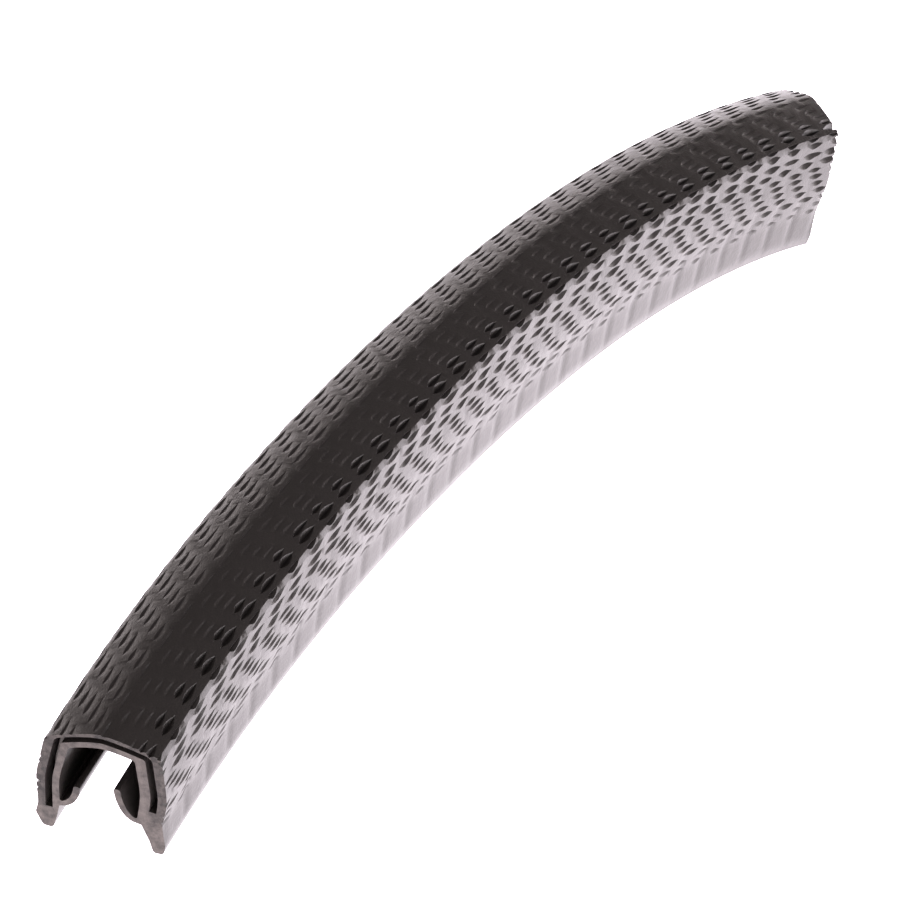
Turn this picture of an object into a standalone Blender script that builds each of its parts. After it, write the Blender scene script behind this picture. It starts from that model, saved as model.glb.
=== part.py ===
"""Edge trim seal: a short bent piece of a clamping U profile with a steel strip in its wall.

The soft cover is one extruded body. It has a low crown, two legs with pointed feet, and one
gripping fin inside each leg. A stamped steel strip follows the cover's wall in a U-shaped slot.
Both pieces are drawn as one cross-section in millimetres and carried along the same bent line.
In the cross-section u runs from the left leg to the right leg and v runs from the feet up.
"""
import math

import bmesh
import bpy
from mathutils import Vector
from mathutils.geometry import tessellate_polygon

MM = 0.001

# The strip's length and bend, in millimetres
LENGTH = 119.6
ARCH_RADIUS = {"near": 117.5, "middle": 431.0, "far": 132.5}
SWAY_RADIUS = {"near": 543.0, "middle": 431.0, "far": 155.5}
STATIONS = 32
PATH_STEPS = 600

# How far the section leans to the right all along the strip, in degrees
LEAN = 2.73

# How far each end cut leans, in degrees: across the strip, and from foot to crown
NEAR_CUT = {"across": 8.2, "upright": 3.8}
FAR_CUT = {"across": -13.0, "upright": -5.2}

# The cover's cross-section, in millimetres. A shoulder is (u, fall under the crown's top, radius), and a
# leg's other corners are (u, v, radius).
HEIGHT = 14.5
CROWN_CURVE = 1.4
CROWN_STEPS = 3
WALL_CROWN = 1.85
CAVITY_BEND = 0.5
FOOT_WALL = 2.0
TOE_WIDTH = 0.9
TOE_BEND = 0.4
FIN_THICKNESS = 0.6
FIN_SWEEP = 78.0
FIN_STEPS = 5
LEFT_LEG = {
    "shoulder": (5.05, 2.04, 1.2),
    "hip": (6.07, 7.0, 12.0),
    "ankle": (6.13, 3.1, 1.0),
    "heel": (6.4, 1.7, 0.9),
    "toe": 5.25,
    "instep": (4.4, 1.7, 1.0),
    "wall": 2.05,
    "fin_root": 3.7,
    "fin_reach": 1.65,
    "fin_rise": 3.3,
    "core_end": 2.85,
}
RIGHT_LEG = {
    "shoulder": (5.15, 1.3, 0.7),
    "hip": (5.52, 7.5, 12.0),
    "ankle": (5.07, 3.9, 2.0),
    "heel": (5.2, 1.3, 0.7),
    "toe": 4.5,
    "instep": (3.75, 1.5, 1.0),
    "wall": 2.35,
    "fin_root": 3.9,
    "fin_reach": 1.68,
    "fin_rise": 4.4,
    "core_end": 5.65,
}

# The steel strip, in millimetres. Its fingers hang from a web along the crown.
CORE_THICKNESS = 0.4
CORE_CLEARANCE = 0.12
CORE_BEND = 0.35
SKIN_LEG = 0.82
SKIN_CROWN = 0.5
FINGER_START = 1.43
FINGER_PITCH = 4.12
FINGER_WIDTH = 2.9
SHORTEST_FINGER = 1.0
WEB_HALF_WIDTH = 1.8
CORE_RECESS = 0.6

# Colours of the soft cover and the steel, with roughness and metallic values
COVER_FINISH = ((0.022, 0.020, 0.020, 1.0), 0.38, 0.0)
STEEL_FINISH = ((0.32, 0.31, 0.30, 1.0), 0.42, 1.0)


def bend_angle(radii, share):
    """Angle turned between the middle of the strip, share 0, and its near or far end, share -1 or 1.

    The curvature is the parabola through those of the near end, the middle and the far end.
    """
    near, middle, far = (1 / radii[name] for name in ("near", "middle", "far"))
    slope = (far - near) / 2
    bow = (far + near) / 2 - middle
    return LENGTH / 2 * (middle * share + slope * share ** 2 / 2 + bow * share ** 3 / 3)


def direction(pitch, yaw):
    return Vector((math.cos(pitch) * math.cos(yaw), math.cos(pitch) * math.sin(yaw), math.sin(pitch)))


class Path:
    """The strip's bent reference line, at half its height. The section keeps the same lean about it."""

    def __init__(self):
        self.turn = (0.0, 0.0)
        self.march()
        chord = self.frame(1)[0] - self.frame(-1)[0]
        self.turn = (-math.atan2(chord.z, math.hypot(chord.x, chord.y)), -math.atan2(chord.y, chord.x))
        self.march()

    def angles(self, share):
        pitch = self.turn[0] - bend_angle(ARCH_RADIUS, share)
        yaw = self.turn[1] - bend_angle(SWAY_RADIUS, share)
        return pitch, yaw

    def march(self):
        """Points a small step apart, from the near end to the far end."""
        self.points = [Vector((0, 0, 0))]
        for index in range(PATH_STEPS):
            middle = 2 * (index + 0.5) / PATH_STEPS - 1
            step = direction(*self.angles(middle)) * LENGTH / PATH_STEPS
            self.points.append(self.points[-1] + step)

    def frame(self, share):
        """The point at a share of the half length, with the directions along, across and up."""
        place = (share + 1) / 2 * PATH_STEPS
        index = min(int(place), PATH_STEPS - 1)
        point = self.points[index].lerp(self.points[index + 1], place - index)
        pitch, yaw = self.angles(share)
        along = direction(pitch, yaw)
        level = Vector((math.sin(yaw), -math.cos(yaw), 0))
        upright = level.cross(along)
        lean = math.radians(LEAN)
        across = level * math.cos(lean) - upright * math.sin(lean)
        up = upright * math.cos(lean) + level * math.sin(lean)
        return point, along, across, up

    def place(self, share, u, v):
        """A point of the section. The lean of each end cut fades out towards the other end."""
        point, along, across, up = self.frame(share)
        near = cut_shift(NEAR_CUT, u, v) * (1 - share) / 2
        far = cut_shift(FAR_CUT, u, v) * (1 + share) / 2
        return point + across * u + up * (v - HEIGHT / 2) + along * (near + far)


def cut_shift(cut, u, v):
    """How far an end cut's plane lies past the square cut, at a point of the section."""
    across = u * math.tan(math.radians(cut["across"]))
    upright = (v - HEIGHT / 2) * math.tan(math.radians(cut["upright"]))
    return across + upright


def rounded(corners):
    """The corners (u, v, radius) joined by straight lines, with an arc in each inner corner."""
    spots = [Vector(corner[:2]) for corner in corners]
    points = [spots[0]]
    for index in range(1, len(corners) - 1):
        back = spots[index - 1] - spots[index]
        ahead = spots[index + 1] - spots[index]
        half = back.angle(ahead) / 2
        reach = min(corners[index][2] / math.tan(half), 0.45 * back.length, 0.45 * ahead.length)
        if reach < 0.02:
            points.append(spots[index])
            continue
        bisector = (back.normalized() + ahead.normalized()).normalized()
        middle = spots[index] + bisector * (reach / math.cos(half))
        first = spots[index] + back.normalized() * reach - middle
        last = spots[index] + ahead.normalized() * reach - middle
        turn = first.angle(last)
        count = max(1, round(math.degrees(turn) / 30))
        for number in range(count + 1):
            share = number / count
            spoke = first * math.sin((1 - share) * turn) + last * math.sin(share * turn)
            points.append(middle + spoke / math.sin(turn))
    points.append(spots[-1])
    return points


def crown_height(leg, u, depth):
    """Height of the crown at a depth under the outer skin. It falls from its middle to the shoulder."""
    edge, fall, _ = leg["shoulder"]
    return HEIGHT - depth - fall * (u / edge) ** CROWN_CURVE


def leg_width(leg, v):
    """Half width of the leg's outer line at height v, along the straight lines between corners."""
    corners = [leg["hip"], leg["ankle"], leg["heel"]]
    for upper, lower in zip(corners, corners[1:]):
        if v >= lower[1]:
            break
    share = (v - lower[1]) / (upper[1] - lower[1])
    return lower[0] + (upper[0] - lower[0]) * share


def crown_line(leg, edge, depth):
    """Corners along the crown at a depth, from its middle to just before the edge."""
    shares = [step / (CROWN_STEPS + 1) for step in range(CROWN_STEPS + 1)]
    return [(edge * share, crown_height(leg, edge * share, depth), 0.0) for share in shares]


def wall_line(leg, leg_depth, crown_depth, bend, lowest):
    """One side's line at a depth under the outer skin, from the crown's middle down to lowest."""
    edge = leg["shoulder"][0] - leg_depth
    corner = (edge, crown_height(leg, edge, crown_depth), bend)
    side = [(u - leg_depth, v, radius) for u, v, radius in (leg["hip"], leg["ankle"]) if v > lowest + 0.5]
    end = (leg_width(leg, lowest) - leg_depth, lowest, 0.0)
    return rounded(crown_line(leg, edge, crown_depth) + [corner] + side + [end])


def fin_face(leg, root_u, side):
    """One face of the fin, root to tip: a quarter of an oval from the leg inwards and up."""
    line = []
    for index in range(1, FIN_STEPS + 1):
        angle = math.radians(FIN_SWEEP * index / FIN_STEPS)
        spot = Vector((root_u - leg["fin_reach"] * math.sin(angle),
                       leg["fin_root"] + leg["fin_rise"] * (1 - math.cos(angle))))
        run = Vector((-leg["fin_reach"] * math.cos(angle), leg["fin_rise"] * math.sin(angle))).normalized()
        line.append(spot + Vector((run.y, -run.x)) * side * FIN_THICKNESS / 2)
    return line


def side_outline(leg):
    """One side of the cover: down the outside, round the foot and the fin, up to the cavity's top."""
    shoulder_u, _, shoulder_bend = leg["shoulder"]
    shoulder = (shoulder_u, crown_height(leg, shoulder_u, 0), shoulder_bend)
    toe_out = (leg["toe"] + TOE_WIDTH / 2, 0.0, TOE_BEND)
    toe_in = (leg["toe"] - TOE_WIDTH / 2, 0.0, TOE_BEND)
    foot_top = leg["fin_root"] - FIN_THICKNESS / 2 - 0.1
    underside = (leg_width(leg, foot_top) - FOOT_WALL, foot_top, 0.0)
    corners = [shoulder, leg["hip"], leg["ankle"], leg["heel"], toe_out, toe_in, leg["instep"], underside]
    root_u = leg_width(leg, leg["fin_root"]) - leg["wall"]
    below = fin_face(leg, root_u, -1)
    above = fin_face(leg, root_u, 1)
    run = (above[-1] - above[-2]).normalized()
    nose = (above[-1] + below[-1]) / 2 + run * FIN_THICKNESS * 0.35
    top_of_fin = leg["fin_root"] + FIN_THICKNESS / 2 + 0.15
    cavity = wall_line(leg, leg["wall"], WALL_CROWN, CAVITY_BEND, top_of_fin)
    return rounded(crown_line(leg, shoulder_u, 0) + corners) + below + [nose] + above[::-1] + cavity[::-1]


def mirrored(points):
    return [Vector((-point.x, point.y)) for point in reversed(points)]


def outset(points, distance):
    """The points of an open line, each moved to the line's left by a distance."""
    moved = []
    for index, point in enumerate(points):
        run = points[min(index + 1, len(points) - 1)] - points[max(index - 1, 0)]
        run.normalize()
        moved.append(point + Vector((-run.y, run.x)) * distance)
    return moved


def band_lines(gap):
    """The inner and outer faces of the steel strip's section, each moved off the steel by gap."""
    slot = CORE_THICKNESS + 2 * CORE_CLEARANCE
    sides = []
    for leg in (RIGHT_LEG, LEFT_LEG):
        lowest = leg["core_end"] + CORE_CLEARANCE - gap
        sides.append(wall_line(leg, SKIN_LEG + slot, SKIN_CROWN + slot, CORE_BEND, lowest))
    base = mirrored(sides[1])[:-1] + sides[0]
    return outset(base, CORE_CLEARANCE - gap), outset(base, CORE_CLEARANCE + CORE_THICKNESS + gap)


def add_object(name, points, faces, finish):
    """A closed mesh from points in millimetres, with one material."""
    colour, roughness, metallic = finish
    mesh = bpy.data.meshes.new(name)
    mesh.from_pydata([point * MM for point in points], [], faces)
    work = bmesh.new()
    work.from_mesh(mesh)
    bmesh.ops.recalc_face_normals(work, faces=work.faces)
    work.to_mesh(mesh)
    work.free()
    material = bpy.data.materials.new(name)
    material.use_nodes = True
    shader = material.node_tree.nodes["Principled BSDF"]
    shader.inputs["Base Color"].default_value = colour
    shader.inputs["Roughness"].default_value = roughness
    shader.inputs["Metallic"].default_value = metallic
    mesh.materials.append(material)
    obj = bpy.data.objects.new(name, mesh)
    bpy.context.scene.collection.objects.link(obj)
    return obj


def cover_mesh(path):
    """Points and faces of the cover: its outline and its slot carried along the path, with end caps."""
    outline = side_outline(RIGHT_LEG) + mirrored(side_outline(LEFT_LEG))[1:-1]
    inner, outer = band_lines(CORE_CLEARANCE)
    slot = inner + outer[::-1]
    loops = (outline, slot)
    ring = outline + slot
    points = []
    for station in range(STATIONS + 1):
        share = 2 * station / STATIONS - 1
        points += [path.place(share, spot.x, spot.y) for spot in ring]
    size = len(ring)
    faces = []
    for station in range(STATIONS):
        first = station * size
        for loop in loops:
            count = len(loop)
            for index in range(count):
                here = first + index
                after = first + (index + 1) % count
                faces.append((here, after, after + size, here + size))
            first += count
    caps = tessellate_polygon([[Vector((spot.x, spot.y, 0)) for spot in loop] for loop in loops])
    for last in (0, STATIONS * size):
        faces += [tuple(last + index for index in face) for face in caps]
    return points, faces


def core_mesh(path):
    """Points and faces of the steel strip: fingers down both legs, joined by a web on the crown."""
    inner, outer = band_lines(0)
    edges = []
    start = FINGER_START
    while start < LENGTH - CORE_RECESS - SHORTEST_FINGER:
        edges += [start, min(start + FINGER_WIDTH, LENGTH - CORE_RECESS)]
        start += FINGER_PITCH
    ring = inner + outer
    points = [path.place(2 * edge / LENGTH - 1, spot.x, spot.y) for edge in edges for spot in ring]
    across = len(inner)

    def filled(row, column):
        """Whether the cell after a station and a point of the section is steel."""
        if not (0 <= row < len(edges) - 1 and 0 <= column < across - 1):
            return False
        on_crown = all(abs(inner[index].x) < WEB_HALF_WIDTH + 0.5 and inner[index].y > HEIGHT / 2
                       for index in (column, column + 1))
        return row % 2 == 0 or on_crown

    def corner(row, column, face):
        return row * len(ring) + face * across + column

    faces = []
    for row in range(len(edges) - 1):
        for column in range(across - 1):
            if not filled(row, column):
                continue
            square = ((row, column), (row, column + 1), (row + 1, column + 1), (row + 1, column))
            faces.append(tuple(corner(*spot, 0) for spot in square))
            faces.append(tuple(corner(*spot, 1) for spot in reversed(square)))
            beside = ((row - 1, column), (row, column + 1), (row + 1, column), (row, column - 1))
            for number, cell in enumerate(beside):
                if not filled(*cell):
                    first = square[number]
                    last = square[(number + 1) % 4]
                    faces.append((corner(*first, 0), corner(*first, 1), corner(*last, 1), corner(*last, 0)))
    used = sorted({index for face in faces for index in face})
    renumbered = {index: number for number, index in enumerate(used)}
    return [points[index] for index in used], [tuple(renumbered[index] for index in face) for face in faces]


def main():
    for obj in list(bpy.data.objects):
        bpy.data.objects.remove(obj, do_unlink=True)
    path = Path()
    cover_points, cover_faces = cover_mesh(path)
    core_points, core_faces = core_mesh(path)
    low = Vector(min(point[axis] for point in cover_points) for axis in range(3))
    high = Vector(max(point[axis] for point in cover_points) for axis in range(3))
    base = Vector(((low.x + high.x) / 2, (low.y + high.y) / 2, low.z))
    add_object("pvc_cover", [point - base for point in cover_points], cover_faces, COVER_FINISH)
    add_object("steel_core", [point - base for point in core_points], core_faces, STEEL_FINISH)


main()
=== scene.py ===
import math

import bpy
import numpy as np
from mathutils import Matrix, Vector
from mathutils.geometry import tessellate_polygon


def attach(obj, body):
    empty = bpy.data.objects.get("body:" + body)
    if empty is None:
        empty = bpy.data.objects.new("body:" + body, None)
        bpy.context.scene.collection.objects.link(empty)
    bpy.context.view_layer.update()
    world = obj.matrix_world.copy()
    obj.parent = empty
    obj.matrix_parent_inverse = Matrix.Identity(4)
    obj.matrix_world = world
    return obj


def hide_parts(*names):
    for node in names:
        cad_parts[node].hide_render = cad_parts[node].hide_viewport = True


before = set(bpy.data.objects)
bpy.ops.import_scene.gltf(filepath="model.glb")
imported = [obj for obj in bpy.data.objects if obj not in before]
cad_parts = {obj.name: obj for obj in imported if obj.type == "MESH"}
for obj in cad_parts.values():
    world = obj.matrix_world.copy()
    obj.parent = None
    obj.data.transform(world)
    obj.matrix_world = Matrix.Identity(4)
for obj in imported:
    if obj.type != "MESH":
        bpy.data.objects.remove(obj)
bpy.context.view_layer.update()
mm = 0.001
print("frame loaded")


# The bent line

bend = {
    "length": 119.6,
    "archRadii": (117.5, 431.0, 132.5),  # near end, middle, far end
    "swayRadii": (543.0, 431.0, 155.5),
    "lean": 2.73,  # how far the profile leans to the right all along
    "nearCut": (8.2, 3.8),  # how far the cut leans: across the strip, and from foot to crown
    "farCut": (-13.0, -5.2),
    "steps": 600,
}


def turnedAngle(radii, share):
    # The curvature is the parabola through those of both ends and the middle. This is its integral from
    # the middle, share 0, to the near or far end, share -1 or 1.
    near, middle, far = (1 / radius for radius in radii)
    slope = (far - near) / 2
    bow = (far + near) / 2 - middle
    return bend["length"] / 2 * (middle * share + slope * share ** 2 / 2 + bow * share ** 3 / 3)


def heading(pitch, yaw):
    # Unit vector at a pitch above the level and a yaw from +X.
    return np.stack([np.cos(pitch) * np.cos(yaw), np.cos(pitch) * np.sin(yaw), np.sin(pitch)], axis=-1)


class BentLine:
    # The line at half the profile's height: its direction is integrated in small steps, then turned so
    # that its chord lies along +X. The profile keeps the same lean about it.

    def __init__(self):
        self.turn = (0.0, 0.0)
        self.base = np.zeros(3)
        self.march()
        chord = self.points[-1] - self.points[0]
        self.turn = (-math.atan2(chord[2], math.hypot(chord[0], chord[1])), -math.atan2(chord[1], chord[0]))
        self.march()

    def angles(self, share):
        pitch = self.turn[0] - turnedAngle(bend["archRadii"], share)
        return pitch, self.turn[1] - turnedAngle(bend["swayRadii"], share)

    def march(self):
        middles = 2 * (np.arange(bend["steps"]) + 0.5) / bend["steps"] - 1
        steps = heading(*self.angles(middles)) * bend["length"] / bend["steps"]
        self.points = np.concatenate([np.zeros((1, 3)), np.cumsum(steps, axis=0)])

    def place(self, share, u, v):
        # The line's point, plus u across, plus v up from half height, plus the lean of the end cuts, which
        # fades from each end to the other.
        share, u, v = np.broadcast_arrays(share, u, v)
        at = (share + 1) / 2 * bend["steps"]
        steps = np.arange(bend["steps"] + 1)
        point = np.stack([np.interp(at, steps, self.points[:, k]) for k in range(3)], axis=-1)
        pitch, yaw = self.angles(share)
        along = heading(pitch, yaw)
        level = np.stack([np.sin(yaw), -np.cos(yaw), np.zeros_like(yaw)], axis=-1)
        upright = np.cross(level, along)
        lean = math.radians(bend["lean"])
        across = level * math.cos(lean) - upright * math.sin(lean)
        up = upright * math.cos(lean) + level * math.sin(lean)
        parts = (u, across), (v - profile["height"] / 2, up), (cutLean(share, u, v), along)
        return point - self.base + sum(size[..., None] * way for size, way in parts)


def cutLean(share, u, v):
    # How far a point lies along the strip from the square section: each cut's plane, faded linearly.
    rise = v - profile["height"] / 2
    near, far = (u * math.tan(math.radians(cut[0])) + rise * math.tan(math.radians(cut[1]))
                 for cut in (bend["nearCut"], bend["farCut"]))
    return near * (1 - share) / 2 + far * (1 + share) / 2


# The cross-section

profile = {
    "height": 14.5,
    "inset": 0.02,  # how far the skin is drawn in, so that its finer curves don't pass the CAD's chords
    "crownCurve": 1.4,  # power with which the crown falls towards the shoulders
    "wallCrown": 1.85,
    "cavityBend": 0.5,  # radius in the cavity's upper corners
    "footWall": 2.0,
    "toeWidth": 0.9,
    "toeBend": 0.4,
    "finThickness": 0.6,
    "finSweep": 78.0,  # how much of the oval's quarter the fin follows
    "finNose": 0.35,  # how far the fin's end bulges, as a share of its thickness
    "finMargin": (0.1, 0.15),  # how far the foot's top and the cavity's floor stay from the fin's faces
    "endMargin": 0.5,  # a side's corners closer than this to its lowest point are left out
    "left": {
        "shoulder": (5.05, 2.04, 1.2),  # u, fall under the crown's top, radius
        "hip": (6.07, 7.0, 12.0),  # u, v, radius
        "ankle": (6.13, 3.1, 1.0),
        "heel": (6.4, 1.7, 0.9),
        "toe": 5.25,  # u of its middle
        "instep": (4.4, 1.7, 1.0),
        "wall": 2.05,
        "finRoot": 3.7,  # v where the fin leaves the wall
        "finReach": 1.65,
        "finRise": 3.3,
        "coreEnd": 2.85,  # v of the slot's end
    },
    "right": {
        "shoulder": (5.15, 1.3, 0.7),
        "hip": (5.52, 7.5, 12.0),
        "ankle": (5.07, 3.9, 2.0),
        "heel": (5.2, 1.3, 0.7),
        "toe": 4.5,
        "instep": (3.75, 1.5, 1.0),
        "wall": 2.35,
        "finRoot": 3.9,
        "finReach": 1.68,
        "finRise": 4.4,
        "coreEnd": 5.65,
    },
}

slotted = {
    "thickness": 0.4,
    "clearance": 0.12,
    "bend": 0.35,
    "skinLeg": 0.82,  # the cover outside the slot, on the legs and on the crown
    "skinCrown": 0.5,
}

rounding = {
    "turnStep": 10,  # the most that an arc turns between two points
    "longest": 0.45,  # the most of a straight line that an arc may use
    "least": 0.02,  # below this a corner stays sharp
}


def roundedLine(corners):
    # Straight lines between the corners (u, v, radius). In each corner an arc: the first and last spokes
    # from its middle, each weighted by the sine of the angle that is left to the other.
    spots = [np.array(corner[:2]) for corner in corners]
    points = [spots[0]]
    for back, spot, ahead, corner in zip(spots, spots[1:], spots[2:], corners[1:]):
        toBack, toAhead = back - spot, ahead - spot
        sizes = np.linalg.norm(toBack), np.linalg.norm(toAhead)
        toBack, toAhead = toBack / sizes[0], toAhead / sizes[1]
        half = math.acos(np.clip(toBack @ toAhead, -1, 1)) / 2
        reach = min(corner[2] / math.tan(half), rounding["longest"] * sizes[0], rounding["longest"] * sizes[1])
        if reach < rounding["least"]:
            points.append(spot)
            continue
        bisector = (toBack + toAhead) / np.linalg.norm(toBack + toAhead)
        middle = spot + bisector * reach / math.cos(half)
        first, last = spot + toBack * reach - middle, spot + toAhead * reach - middle
        turn = math.pi - 2 * half
        steps = max(2, round(math.degrees(turn) / rounding["turnStep"]))
        share = np.linspace(0, 1, steps + 1)[:, None]
        spokes = first * np.sin((1 - share) * turn) + last * np.sin(share * turn)
        points += list(middle + spokes / math.sin(turn))
    points.append(spots[-1])
    return np.array(points)


def crownHeight(leg, u, depth):
    # Height of the crown at a depth under the skin: its fall grows with a power of the way to the shoulder.
    edge, fall, _ = leg["shoulder"]
    return profile["height"] - depth - fall * (u / edge) ** profile["crownCurve"]


def crownLine(leg, edge, depth, steps=12):
    # Corners along three quarters of the crown, from its middle towards the edge.
    across = np.linspace(0, 0.75 * edge, steps)
    return [(u, crownHeight(leg, u, depth), 0.0) for u in across]


def legWidth(leg, v):
    # Half width of the leg's outer side at a height, on the straight lines between its corners.
    corners = np.array([leg["heel"][:2], leg["ankle"][:2], leg["hip"][:2]])
    return float(np.interp(v, corners[:, 1], corners[:, 0]))


def wallLine(leg, legDepth, crownDepth, turn, lowest):
    # One side's line at a depth under the skin, from the crown's middle down to the lowest height.
    edge = leg["shoulder"][0] - legDepth
    corner = (edge, crownHeight(leg, edge, crownDepth), turn)
    side = [(u - legDepth, v, radius) for u, v, radius in (leg["hip"], leg["ankle"])
            if v > lowest + profile["endMargin"]]
    end = (legWidth(leg, lowest) - legDepth, lowest, 0.0)
    return roundedLine(crownLine(leg, edge, crownDepth) + [corner] + side + [end])


def finLine(leg, rootU, side, steps=9):
    # One face of the fin: a quarter of an oval, moved half a thickness to one side.
    angle = np.radians(profile["finSweep"] * np.arange(1, steps + 1) / steps)
    reach, rise = leg["finReach"], leg["finRise"]
    spots = np.stack([rootU - reach * np.sin(angle), leg["finRoot"] + rise * (1 - np.cos(angle))], axis=-1)
    runs = np.stack([-reach * np.cos(angle), rise * np.sin(angle)], axis=-1)
    runs /= np.linalg.norm(runs, axis=1)[:, None]
    return spots + np.stack([runs[:, 1], -runs[:, 0]], axis=-1) * side * profile["finThickness"] / 2


def sideLines(leg):
    # One side of the cover as two lines: the skin from the crown's middle to under the toe, and the inside
    # from there round the foot and the fin up to the cavity's top.
    thick = profile["finThickness"]
    below, above = profile["finMargin"]
    edge, _, turn = leg["shoulder"]
    shoulder = (edge, crownHeight(leg, edge, 0), turn)
    toes = [(leg["toe"] + side * profile["toeWidth"] / 2, 0.0, profile["toeBend"]) for side in (1, -1)]
    footTop = leg["finRoot"] - thick / 2 - below
    cavityFloor = leg["finRoot"] + thick / 2 + above
    underside = (legWidth(leg, footTop) - profile["footWall"], footTop, 0.0)
    corners = [shoulder, leg["hip"], leg["ankle"], leg["heel"]] + toes + [leg["instep"], underside]
    outside = roundedLine(crownLine(leg, edge, 0) + corners)
    lowest = np.flatnonzero(outside[:, 1] < 1e-6)
    split = lowest[np.argmax(np.diff(outside[lowest, 0]) < -0.05)] + 1
    under = np.array([[leg["toe"], 0.0]])
    rootU = legWidth(leg, leg["finRoot"]) - leg["wall"]
    lower, upper = finLine(leg, rootU, -1), finLine(leg, rootU, 1)
    run = (upper[-1] - upper[-2]) / np.linalg.norm(upper[-1] - upper[-2])
    bulge = np.radians([36, 72, 108, 144])[:, None]  # four points on a half circle round the fin's end
    middle, arm = (upper[-1] + lower[-1]) / 2, (upper[-1] - lower[-1]) / 2
    nose = middle - arm * np.cos(bulge) + run * np.sin(bulge) * thick * profile["finNose"]
    cavity = wallLine(leg, leg["wall"], profile["wallCrown"], profile["cavityBend"], cavityFloor)
    inside = np.concatenate([outside[split:], lower, nose, upper[::-1], cavity[::-1]])
    return np.concatenate([outside[:split], under]), inside


def mirrored(points):
    # The same line on the other side, run the other way.
    return points[::-1] * (-1, 1)


def slotLoop():
    # The slot's section: the line at the slot's depth, and the same line moved out by the slot's width.
    gap = slotted["thickness"] + 2 * slotted["clearance"]
    sides = [wallLine(profile[name], slotted["skinLeg"] + gap, slotted["skinCrown"] + gap, slotted["bend"],
                      profile[name]["coreEnd"]) for name in ("left", "right")]
    base = np.concatenate([mirrored(sides[0])[:-1], sides[1]])
    runs = np.gradient(base, axis=0)
    runs /= np.linalg.norm(runs, axis=1)[:, None]
    out = base + np.stack([-runs[:, 1], runs[:, 0]], axis=-1) * gap
    return np.concatenate([base, out[::-1]])


# The embossed skin

fingers = {
    "pitch": 4.12,
    "firstGap": 4.94,
    "softness": 0.6,  # half width over which the skin sinks between two fingers
    "sink": 0.1,  # the most that it sinks there
    "slant": 0.2,  # how far a gap's mark moves towards the near end for each millimetre down the leg
    "slantFrom": 11,
    "fade": 0.25,  # how much of a dash is lost over a gap
    "shares": (0.25, 0.1, 0.65),  # of the sinking: on the crown, added on the legs, added near the feet
    # Distances from the crown's middle: where the legs and the feet's ripples begin, where the ripples and
    # all sinking end, each with the length over which it changes
    "legsFrom": (5.2, 1.5),
    "feetFrom": (10.5, 3),
    "feetTo": (15.6, 2.2),
    "toesTo": (17, 1),
}

emboss = {
    "pitch": 3.33,
    "uneven": 0.1,  # spread of the dashes' length and depth, as a share
    "seed": 7,
    "closed": 0.1,  # width that a groove's columns keep between two dashes, as a share
    "depthRange": (0.6, 1.05),  # least and greatest share of its depth that a dash may have
    # Bands of rows: t of each row's deepest line, where its first dash starts from the near end, the
    # dashes' length, the widths of the walls before and after the line, the depth, and where along a dash
    # it is deepest
    "bands": (
        {"rows": (-4.75, -3.8, -2.85, -1.9, -0.9, 0.1), "starts": (0.1, 2.7, 2.0, 1.3, 0.6, 3.13),
         "length": 2.3, "walls": (0.18, 0.5), "depth": 0.14, "front": 0.35},
        {"rows": (1.0, 1.9, 2.7), "starts": (2.0, 2.65, 2.9),
         "length": 1.9, "walls": (0.24, 0.4), "depth": 0.13, "front": 0.3},
        {"rows": (3.5,), "starts": (3.3,),
         "length": 2.0, "walls": (0.32, 0.3), "depth": 0.34, "front": 0.35},
        {"rows": (4.3,), "starts": (3.08,),
         "length": 2.4, "walls": (0.42, 0.36), "depth": 0.46, "front": 0.45},
        {"rows": (5.05,), "starts": (3.2,),
         "length": 1.8, "walls": (0.13, 0.4), "depth": 0.3, "front": 0.3},
        {"rows": (5.75, 6.85, 7.8), "starts": (3.05, 2.7, 2.25),
         "length": 2.6, "walls": (0.26, 0.54), "depth": 0.46, "front": 0.5},
        {"rows": (8.68, 9.45, 10.3), "starts": (0.8, 1.2, 1.9),
         "length": 2.3, "walls": (0.22, 0.38), "depth": 0.31, "front": 0.5},
        {"rows": (11.2, 12.15), "starts": (2.7, 0.7),
         "length": 2.4, "walls": (0.26, 0.44), "depth": 0.42, "front": 0.5},
        {"rows": (13.1, 14.0), "starts": (0.2, 2.95),
         "length": 1.9, "walls": (0.24, 0.36), "depth": 0.22, "front": 0.5},
    ),
    "leftFrom": 5,  # the left leg repeats the bands from this one on, mirrored
    "leftShift": 0.9,  # how far the mirrored rows are moved along the strip
    "leftInset": 0.3,  # how much nearer the crown the mirrored rows lie
}


def embossRows():
    # Every row of dashes with its band's sizes, its t and its start, from the left foot to the right one.
    rows = []
    for number, band in enumerate(emboss["bands"]):
        for place, start in zip(band["rows"], band["starts"]):
            rows.append({**band, "t": place, "start": start})
            if number >= emboss["leftFrom"]:
                start += emboss["leftShift"]
                turned = band["walls"][::-1]
                rows.append({**band, "t": -place + emboss["leftInset"], "start": start, "walls": turned})
    return sorted(rows, key=lambda row: row["t"])


def gapCloseness(along):
    # 1 over the middle of a gap between two steel fingers, falling to 0 as a bell curve.
    pitch = fingers["pitch"]
    off = (along - fingers["firstGap"] + pitch / 2) % pitch - pitch / 2
    return np.exp(-(off / fingers["softness"]) ** 2)


def smooth(share):
    # The S curve 3x^2 - 2x^3 on a share held between 0 and 1.
    share = np.clip(share, 0, 1)
    return share * share * (3 - 2 * share)


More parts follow.
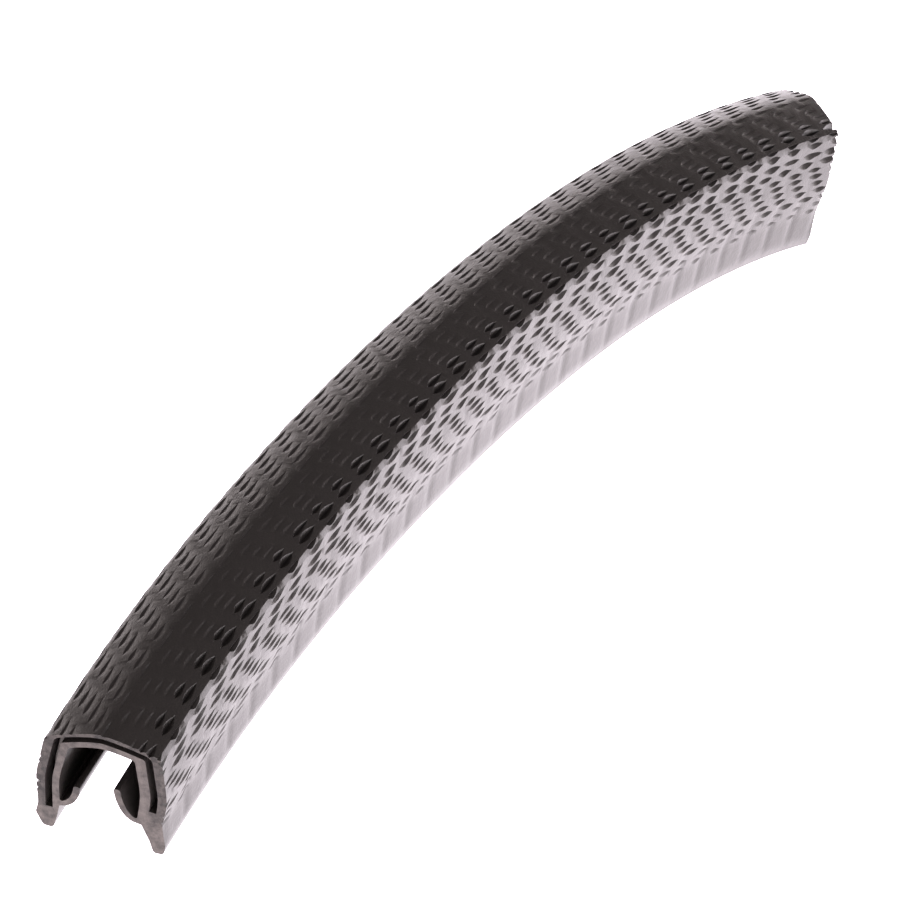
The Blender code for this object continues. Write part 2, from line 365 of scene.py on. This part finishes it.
def dashes(row, number, along):
    # How far a row's groove stands open, from 0 between two dashes to 1 where it is deepest: a parabola to
    # each end of the dash, with its length and depth a little uneven. Two dashes are spare at each end.
    count = int(bend["length"] / emboss["pitch"]) + 4
    draw = np.random.default_rng(emboss["seed"] + number)
    _, longer, deeper = draw.normal(0, emboss["uneven"], (3, count))
    index = np.floor((along - row["start"]) / emboss["pitch"]).astype(int)
    pick = np.clip(index + 2, 0, count - 1)
    length = row["length"] * np.minimum(1 + longer[pick], emboss["pitch"] / row["length"])
    offset = along - row["start"] - index * emboss["pitch"] - row["front"] * length
    reach = np.where(offset < 0, -offset / row["front"], offset / (1 - row["front"])) / length
    return np.clip(1 - reach ** 2, 0, 1) * np.clip(1 + deeper[pick], *emboss["depthRange"])


grid = {
    "coarse": 130,  # stations of the inside
    "dense": 4,  # cells of the skin for each of them
    "widest": 0.62,  # the widest plain stretch of skin between two columns
    "tight": 4,  # where the skin turns more than this, it gets a column of its own
    "margin": 0.05,  # how far that column stays from a groove
    "sharpFrom": 28,  # edges that turn more than this stay sharp
}


class Skin:
    # The outer side from the left toe to the right toe as one line, measured by t.

    def __init__(self):
        right, self.rightInside = sideLines(profile["right"])
        left, self.leftInside = sideLines(profile["left"])
        self.line = np.concatenate([mirrored(left)[:-1], right])
        steps = np.linalg.norm(np.diff(self.line, axis=0), axis=1)
        self.t = np.concatenate([[0], np.cumsum(steps)])
        self.t -= self.t[len(left) - 1]

    def spot(self, t):
        return np.interp(t, self.t, self.line[:, 0]), np.interp(t, self.t, self.line[:, 1])

    def outward(self, t, span=0.12):
        # The line's direction over a short span, turned a quarter outwards.
        ahead = self.spot(np.minimum(t + span, self.t[-1]))
        behind = self.spot(np.maximum(t - span, self.t[0]))
        run = np.stack([ahead[0] - behind[0], ahead[1] - behind[1]])
        run /= np.linalg.norm(run, axis=0)
        return -run[1], run[0]

    def columns(self, rows):
        # Every column of points as (t, step aside when its groove stands open, row number, depth share).
        # Each row has two rims and its deepest line; tight corners and plain stretches are filled in.
        held = []
        for number, row in enumerate(rows):
            before, after = row["walls"]
            lines = (-before, 0.0), (0.0, 1.0), (after, 0.0)
            held += [(row["t"], aside, number, deep) for aside, deep in lines]
        places, walls = (np.array([row[name] for row in rows]) for name in ("t", "walls"))
        starts, ends = places - walls[:, 0] - grid["margin"], places + walls[:, 1] + grid["margin"]
        runs = np.diff(self.line, axis=0)
        turning = np.abs(np.diff(np.unwrap(np.arctan2(runs[:, 1], runs[:, 0]))))
        tight = self.t[1:-1][turning > math.radians(grid["tight"])]
        free = [t for t in tight if not ((starts < t) & (t < ends)).any()]
        held += [(t, 0.0, -1, 0.0) for t in free] + [(self.t[0], 0.0, -1, 0.0), (self.t[-1], 0.0, -1, 0.0)]
        held.sort(key=lambda column: column[0] + column[1])
        filled = [held[0]]
        for column in held[1:]:
            start = filled[-1][0] + filled[-1][1]
            width = column[0] + column[1] - start
            extra = int(width / grid["widest"])
            filled += [(start + width * step / (extra + 1), 0.0, -1, 0.0) for step in range(1, extra + 1)]
            filled.append(column)
        return filled


def risen(far, name):
    # S curve that has begun at one of the distances of the fingers' dictionary and is full after its length.
    start, length = fingers[name]
    return smooth((far - start) / length)


def skinPoints(skin, columns, rows, share):
    # The skin's points in the profile: each column steps aside as far as its groove stands open, and lies
    # under the plain skin by the groove's depth and by the soft sinking between the steel fingers.
    along = bend["length"] * (share + 1) / 2
    middle = np.array([column[0] for column in columns])
    u, v = skin.spot(middle)
    rolled = along + cutLean(share, u[None], v[None])
    far = np.abs(middle)
    onLegs = risen(far, "legsFrom")
    nearFeet = risen(far, "feetFrom") * (1 - risen(far, "feetTo"))
    gap = gapCloseness(along + fingers["slant"] * np.maximum(far - fingers["slantFrom"], 0))
    crown, legs, feet = fingers["shares"]
    sunk = fingers["sink"] * gap * (crown + legs * onLegs + feet * nearFeet) * (1 - risen(far, "toesTo"))
    depth = profile["inset"] + sunk
    t = middle + 0 * share
    for index, (_, aside, number, deep) in enumerate(columns):
        if number >= 0:
            opened = dashes(rows[number], number, rolled[:, index])
            opened *= 1 - fingers["fade"] * gap[:, index] * onLegs[index]
            t[:, index] += aside * np.maximum(opened, emboss["closed"])
            depth[:, index] += rows[number]["depth"] * deep * opened
    u, v = skin.spot(t)
    outU, outV = skin.outward(t)
    return u - outU * depth, v - outV * depth


# The cover's mesh

kindOf = {"skin": 0, "cut": 1, "inside": 2}  # the cover's materials in their order


def quads(rows, columns, closed=False):
    # Corner numbers of the cells of a grid of points, with the last column joined to the first if closed.
    row = np.arange(rows - 1)[:, None] * columns
    here = np.arange(columns if closed else columns - 1)[None]
    after = (here + 1) % columns
    cells = np.stack([row + here, row + after, row + columns + after, row + columns + here], axis=-1)
    return cells.reshape(-1, 4)


def area(loop):
    # Signed area of a closed loop, above 0 if it runs anticlockwise.
    ahead = np.roll(loop, -1, axis=0)
    return 0.5 * np.sum(loop[:, 0] * ahead[:, 1] - ahead[:, 0] * loop[:, 1])


def capFaces(loops, turned):
    # Triangles that fill a cut end between its loops, all turned the same way.
    flat = np.concatenate(loops)
    found = np.array(tessellate_polygon([[Vector((u, v, 0)) for u, v in loop] for loop in loops]))
    one, two, three = (flat[found[:, k]] for k in range(3))
    sign = np.cross(two - one, three - one)
    wrong = (sign < 0) != turned
    found[wrong] = found[wrong][:, ::-1]
    return found


def buildCover(line):
    # The skin as a grid of stations and columns, the inside and the slot as coarser grids, strips of many
    # corners that join the skin to the inside under the toes, and the two cut ends. Also each face's
    # material, and for each point how pale the cut is there, from 0 outside the slot to 1 inside it.
    skin = Skin()
    rows = embossRows()
    columns = skin.columns(rows)
    stations = grid["coarse"] * grid["dense"]
    share = np.linspace(-1, 1, stations + 1)[:, None]
    skinU, skinV = skinPoints(skin, columns, rows, share)
    inside = np.concatenate([skin.rightInside, mirrored(skin.leftInside)[1:]])
    slot = slotLoop()
    if area(slot) < 0:
        slot = slot[::-1]
    coarse = share[::grid["dense"]]
    plain = skin.line
    base = line.place(share, plain[None, :, 0], plain[None, :, 1]).reshape(-1, 3)
    low, high = base.min(axis=0), base.max(axis=0)
    line.base = np.array([(low[0] + high[0]) / 2, (low[1] + high[1]) / 2, low[2]])
    points = [line.place(share, skinU, skinV).reshape(-1, 3)]
    for loop in (inside, slot):
        points.append(line.place(coarse, loop[None, :, 0], loop[None, :, 1]).reshape(-1, 3))
    wide, inner, narrow = len(columns), len(inside), len(slot)
    firstInner = (stations + 1) * wide
    firstSlot = firstInner + (grid["coarse"] + 1) * inner
    skinFaces = quads(stations + 1, wide)
    innerFaces = np.concatenate([quads(grid["coarse"] + 1, inner) + firstInner,
                                 quads(grid["coarse"] + 1, narrow, closed=True) + firstSlot])
    number = np.arange(grid["coarse"])
    dense = number[:, None] * grid["dense"] + np.arange(grid["dense"] + 1)
    rightToe = np.concatenate([(dense * wide + wide - 1)[:, ::-1], firstInner + number[:, None] * inner,
                               firstInner + (number[:, None] + 1) * inner], axis=1)
    leftToe = np.concatenate([dense * wide, firstInner + (number[:, None] + 2) * inner - 1,
                              firstInner + (number[:, None] + 1) * inner - 1], axis=1)
    caps = []
    for station, step, turned in ((0, 0, False), (stations, grid["coarse"], True)):
        ring = np.concatenate([np.stack([skinU[station], skinV[station]], axis=-1), inside])
        ids = np.concatenate([station * wide + np.arange(wide),
                              firstInner + step * inner + np.arange(inner),
                              firstSlot + step * narrow + np.arange(narrow)])
        caps.append(ids[capFaces([ring, slot], turned)])
    groups = [(skinFaces, "skin"), (rightToe, "skin"), (leftToe, "skin"), (innerFaces, "inside"),
              (caps[0], "cut"), (caps[1], "cut")]
    faces = [face for group, _ in groups for face in group.tolist()]
    kinds = np.concatenate([np.full(len(group), kindOf[kind]) for group, kind in groups])
    footward = smooth((np.abs([column[0] for column in columns]) - cutFace["paleFrom"]) / cutFace["paleOver"])
    inward = np.zeros(sum(map(len, points)))
    inward[:firstInner] = np.tile(footward, stations + 1)
    inward[firstInner:firstSlot] = 1
    inward[firstSlot:] = np.arange(len(inward) - firstSlot) % narrow < narrow // 2
    return np.concatenate(points) * mm, faces, kinds, inward


def addPiece(name, points, faces, materials, kinds):
    mesh = bpy.data.meshes.new(name)
    mesh.from_pydata(points.tolist(), [], faces)
    for material in materials:
        mesh.materials.append(material)
    mesh.polygons.foreach_set("material_index", kinds.astype(np.int32))
    mesh.shade_smooth()
    mesh.set_sharp_from_angle(angle=math.radians(grid["sharpFrom"]))
    mesh.update()
    piece = bpy.data.objects.new(name, mesh)
    bpy.context.scene.collection.objects.link(piece)
    return piece


# Materials

class Wire:
    # An output of a node. Arithmetic on it adds Math nodes.

    def __init__(self, wiring, socket):
        self.wiring = wiring
        self.socket = socket

    def math(self, operation, first, second):
        return self.wiring.node("ShaderNodeMath", {"operation": operation}, {0: first, 1: second})

    def __add__(self, other):
        return self.math("ADD", self, other)

    def __sub__(self, other):
        return self.math("SUBTRACT", self, other)

    def __rsub__(self, other):
        return self.math("SUBTRACT", other, self)

    def __mul__(self, other):
        return self.math("MULTIPLY", self, other)

    def __pow__(self, other):
        return self.math("POWER", self, other)

    __radd__ = __add__
    __rmul__ = __mul__


class Wiring:
    # The nodes of a material or of the room. A node is added by its type, its settings, and the values or
    # links of its sockets.

    def __init__(self, tree):
        self.tree = tree

    def node(self, kind, settings=None, inputs=None, output=0):
        made = self.tree.nodes.new(kind)
        for name, value in (settings or {}).items():
            setattr(made, name, value)
        for name, value in (inputs or {}).items():
            self.feed(made.inputs[name], value)
        return Wire(self, made.outputs[output])

    def feed(self, socket, value):
        if isinstance(value, Wire):
            self.tree.links.new(value.socket, socket)
        else:
            socket.default_value = value


class Finish(Wiring):
    # One material: its plain values go on the shader, and its patterns follow the piece's own coordinates.

    def __init__(self, name, plain):
        self.material = bpy.data.materials.new(name)
        self.material.use_nodes = True
        super().__init__(self.material.node_tree)
        self.shader = self.tree.nodes["Principled BSDF"]
        for socket, value in plain.items():
            self.shader.inputs[socket].default_value = value
        self.place = self.node("ShaderNodeTexCoord", output="Object")

    def noise(self, scale, detail=2.0, roughness=0.5, stretch=(1, 1, 1)):
        # Noise from 0 to 1 with a number of waves to the metre, drawn out along the axes.
        spread = self.node("ShaderNodeMapping", None, {"Vector": self.place, "Scale": stretch})
        return self.node("ShaderNodeTexNoise", None, {"Vector": spread, "Scale": scale, "Detail": detail,
                                                      "Roughness": roughness})

    def mixed(self, share, first, second):
        return self.node("ShaderNodeMix", {"data_type": "RGBA"}, {0: share, 6: first, 7: second}, output=2)

    def bump(self, height, depth):
        return self.node("ShaderNodeBump", None, {"Height": height, "Distance": depth * mm, "Strength": 1.0})

    def wear(self, **links):
        for name, wire in links.items():
            self.feed(self.shader.inputs[name.replace("_", " ")], wire)
        return self.material


# Each pattern is its waves to the metre, its finer octaves, their strength, and its stretch along the axes.
# A shine is the roughness and how much it varies, and grain is the depth of the bumps.

embossedPvc = {
    "dark": (0.020, 0.0175, 0.017, 1),
    "pale": (0.036, 0.032, 0.031, 1),
    "gloss": 0.55,
    "shine": (0.35, 0.1),
    "grain": 0.03,
    "clouds": (220, 4, 0.6),
    "pebbles": (5200, 2, 0.6),
    "dust": (1500, 3, 0.7),
    "mix": (0.6, 0.4),  # of clouds and dust in the colour
}

plainPvc = {
    "dark": (0.020, 0.018, 0.017, 1),
    "pale": (0.04, 0.035, 0.033, 1),
    "gloss": 0.5,
    "shine": (0.33, 0.12),
    "grain": 0.03,
    "lines": (900, 3, 0.6, (0.03, 1, 1)),
    "clouds": (300, 3),
}

cutFace = {
    "dark": (0.016, 0.013, 0.012, 1),
    "pale": (0.125, 0.108, 0.1, 1),
    "gloss": 0.22,
    "shine": (0.45, 0.2),
    "grain": 0.1,
    "marks": (1400, 3, 0.65, (0.4, 1, 0.3)),
    "blotches": (900, 4, 0.7),
    "weights": (0.8, 2.4, 0.4, 1.4),  # of the marks, the blotches and the inner side, and what is taken off
    "paleFrom": 12,  # distance from the crown's middle where the outer side starts to turn as pale as the
    "paleOver": 4,  # inner one, and the length over which it does
}

# Steel colours held near black: painted shade for the slot the steel lies in, under its real stains.
shadeDarkenedSteel = {
    "dark": (0.04, 0.036, 0.033, 1),
    "pale": (0.11, 0.103, 0.096, 1),
    "shine": (0.32, 0.2),
    "grain": 0.01,
    "lines": (1600, 2, 0.6, (0.05, 1, 1)),
    "stains": (400, 4, 0.6),
}


def skinFinish():
    # Satin black PVC: faint cloudy colour, uneven shine and a fine pebbled grain.
    finish = Finish("embossed_pvc", {"Specular IOR Level": embossedPvc["gloss"]})
    clouds, pebbles, dust = (finish.noise(*embossedPvc[name]) for name in ("clouds", "pebbles", "dust"))
    ofClouds, ofDust = embossedPvc["mix"]
    colour = finish.mixed(clouds * ofClouds + dust * ofDust, embossedPvc["dark"], embossedPvc["pale"])
    rough, varied = embossedPvc["shine"]
    shine = dust * varied + clouds * varied + (rough - varied)
    grain = finish.bump(pebbles + dust, embossedPvc["grain"])
    return finish.wear(Base_Color=colour, Roughness=shine, Normal=grain)


def insideFinish():
    # The same PVC as drawn from the die: plainer and a little duller, with fine lines along the strip.
    finish = Finish("plain_pvc", {"Specular IOR Level": plainPvc["gloss"]})
    lines, clouds = (finish.noise(*plainPvc[name]) for name in ("lines", "clouds"))
    colour = finish.mixed(clouds, plainPvc["dark"], plainPvc["pale"])
    rough, varied = plainPvc["shine"]
    grain = finish.bump(lines, plainPvc["grain"])
    return finish.wear(Base_Color=colour, Roughness=lines * varied + rough, Normal=grain)


def cutFinish():
    # The cut: a dull grey-brown smear, paler on the inner side of the slot, with dark blotches and fine
    # knife marks running from foot to crown.
    finish = Finish("cut_pvc", {"Specular IOR Level": cutFace["gloss"]})
    inner = finish.node("ShaderNodeAttribute", {"attribute_name": "inward"}, output=2)
    marks, blotches = (finish.noise(*cutFace[name]) for name in ("marks", "blotches"))
    ofMarks, ofBlotches, ofInner, less = cutFace["weights"]
    level = marks * ofMarks + blotches * ofBlotches + inner * ofInner - less
    colour = finish.mixed(level, cutFace["dark"], cutFace["pale"])
    rough, varied = cutFace["shine"]
    grain = finish.bump(marks, cutFace["grain"])
    return finish.wear(Base_Color=colour, Roughness=blotches * varied + rough, Normal=grain)


def steelFinish():
    # Dull stamped steel: fine rolling lines and real cloudy stains, on a colour kept near black as painted
    # shade, so that the recessed slot it lies in reads as a dark line.
    finish = Finish("shade_darkened_steel", {"Metallic": 1.0})
    lines, stains = (finish.noise(*shadeDarkenedSteel[name]) for name in ("lines", "stains"))
    colour = finish.mixed(stains, shadeDarkenedSteel["dark"], shadeDarkenedSteel["pale"])
    rough, varied = shadeDarkenedSteel["shine"]
    grain = finish.bump(lines, shadeDarkenedSteel["grain"])
    return finish.wear(Base_Color=colour, Roughness=lines * varied + rough, Normal=grain)


# Camera, floor and light

shot = {
    "place": (-295.753, -168.929, 265.154),
    "azimuth": 29.823,  # from +X towards +Y
    "down": 37.384,  # below the level
    "roll": 4.465,
    "lens": 185.289,
    "sensor": 36,
}


def addCamera():
    # Level right and up vectors for the azimuth and the downward angle, then both rolled about the view.
    a, e, r = (math.radians(shot[name]) for name in ("azimuth", "down", "roll"))
    view = Vector((math.cos(e) * math.cos(a), math.cos(e) * math.sin(a), -math.sin(e)))
    level = Vector((math.sin(a), -math.cos(a), 0))
    upright = level.cross(view)
    right = level * math.cos(r) + upright * math.sin(r)
    turned = Matrix((right, right.cross(view), -view)).transposed().to_4x4()
    data = bpy.data.cameras.new("camera")
    data.lens = shot["lens"]
    data.sensor_width = shot["sensor"]
    camera = bpy.data.objects.new("camera", data)
    camera.matrix_world = Matrix.Translation(Vector(shot["place"]) * mm) @ turned
    bpy.context.scene.collection.objects.link(camera)
    bpy.context.scene.camera = camera


studio = {
    "floorSide": 3000,
    "floorGlow": 5.9,
    "floorRim": 0.2,  # share of the glow that is left far from its middle
    "floorMiddle": (75, -115),  # where it glows most
    "floorReach": 260,  # how far from there the glow has faded to its rim
    "floorTint": (1.0, 0.925, 0.985),
    "roomTint": (1.0, 0.89, 0.87),
    "above": 0.3,  # the dark room over the bright floor
    "horizon": 5.4,
    "horizonTop": 0.12,  # height of the bright rim over the horizon, as a share of straight up
    "glow": 0.9,  # a bright wall on the left
    "glowPlace": (0.087, 0.992, 0.087),
    "glowEdge": 0.42,  # cosine of the angle where it has faded out
}


def addFloor():
    # The floor glows most on the part's right and less towards its far sides: a pool of light painted into its
    # emission, which also lights the part.
    side = studio["floorSide"] * mm / 2
    mesh = bpy.data.meshes.new("floor")
    corners = [(-side, -side, 0), (side, -side, 0), (side, side, 0), (-side, side, 0)]
    mesh.from_pydata(corners, [], [(0, 1, 2, 3)])
    # Painted pool of light: the pale floor's emission stands in for light falling on it.
    finish = Finish("glowing_floor", {"Base Color": (0.85, 0.85, 0.85, 1), "Roughness": 0.7,
                                   "Emission Strength": studio["floorGlow"]})
    reach = 1 / (studio["floorReach"] * mm)
    back = tuple(-length / studio["floorReach"] for length in studio["floorMiddle"])
    spread = finish.node("ShaderNodeMapping", None, {"Vector": finish.place, "Scale": (reach, reach, reach),
                                                     "Location": (*back, 0)})
    near = finish.node("ShaderNodeTexGradient", {"gradient_type": "SPHERICAL"}, {"Vector": spread},
                       output=1)
    rim = tuple(level * studio["floorRim"] for level in studio["floorTint"])
    finish.wear(Emission_Color=finish.mixed(near, (*rim, 1), (*studio["floorTint"], 1)))
    mesh.materials.append(finish.material)
    floor = bpy.data.objects.new("floor", mesh)
    bpy.context.scene.collection.objects.link(floor)


def addRoomLight():
    # A room that is dark above, bright just over the horizon and brightest towards a wall on the left,
    # where the light grows with the cube of the closeness to its middle.
    world = bpy.data.worlds.new("room")
    world.use_nodes = True
    room = Wiring(world.node_tree)
    way = room.node("ShaderNodeTexCoord", output="Generated")
    height = room.node("ShaderNodeSeparateXYZ", None, {0: way}, output="Z")
    rise = room.node("ShaderNodeMapRange", None, {"Value": height, "From Max": studio["horizonTop"],
                                                 "To Min": studio["horizon"], "To Max": studio["above"]})
    toWall = room.node("ShaderNodeVectorMath", {"operation": "DOT_PRODUCT"},
                       {0: way, 1: studio["glowPlace"]}, output="Value")
    close = room.node("ShaderNodeMapRange", None, {"Value": toWall, "From Min": studio["glowEdge"]})
    background = world.node_tree.nodes["Background"]
    room.feed(background.inputs["Color"], (*studio["roomTint"], 1))
    room.feed(background.inputs["Strength"], close ** 3 * studio["glow"] + rise)
    bpy.context.scene.world = world


lamps = (
    {"name": "right_softbox", "place": (-60, -900, 260), "size": 500, "watts": 2.0},
)


def addLamps():
    for lamp in lamps:
        data = bpy.data.lights.new(lamp["name"], "AREA")
        data.size = lamp["size"] * mm
        data.energy = lamp["watts"]
        light = bpy.data.objects.new(lamp["name"], data)
        place = Vector(lamp["place"]) * mm
        light.location = place
        light.rotation_mode = "QUATERNION"
        light.rotation_quaternion = (-place).to_track_quat("-Z", "Y")
        bpy.context.scene.collection.objects.link(light)


addCamera()
line = BentLine()
points, faces, kinds, inward = buildCover(line)
cover = addPiece("embossed_cover", points, faces, [skinFinish(), cutFinish(), insideFinish()], kinds)
inner = cover.data.attributes.new("inward", "FLOAT", "POINT")
inner.data.foreach_set("value", inward)
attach(cover, "root")
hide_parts("pvc_cover")
print("cover made,", len(faces), "faces")

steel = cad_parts["steel_core"]
steel.data.materials.clear()
steel.data.materials.append(steelFinish())
print("steel finished")

addFloor()
addRoomLight()
addLamps()
bpy.context.scene.view_settings.view_transform = "Standard"
print("floor and light set")
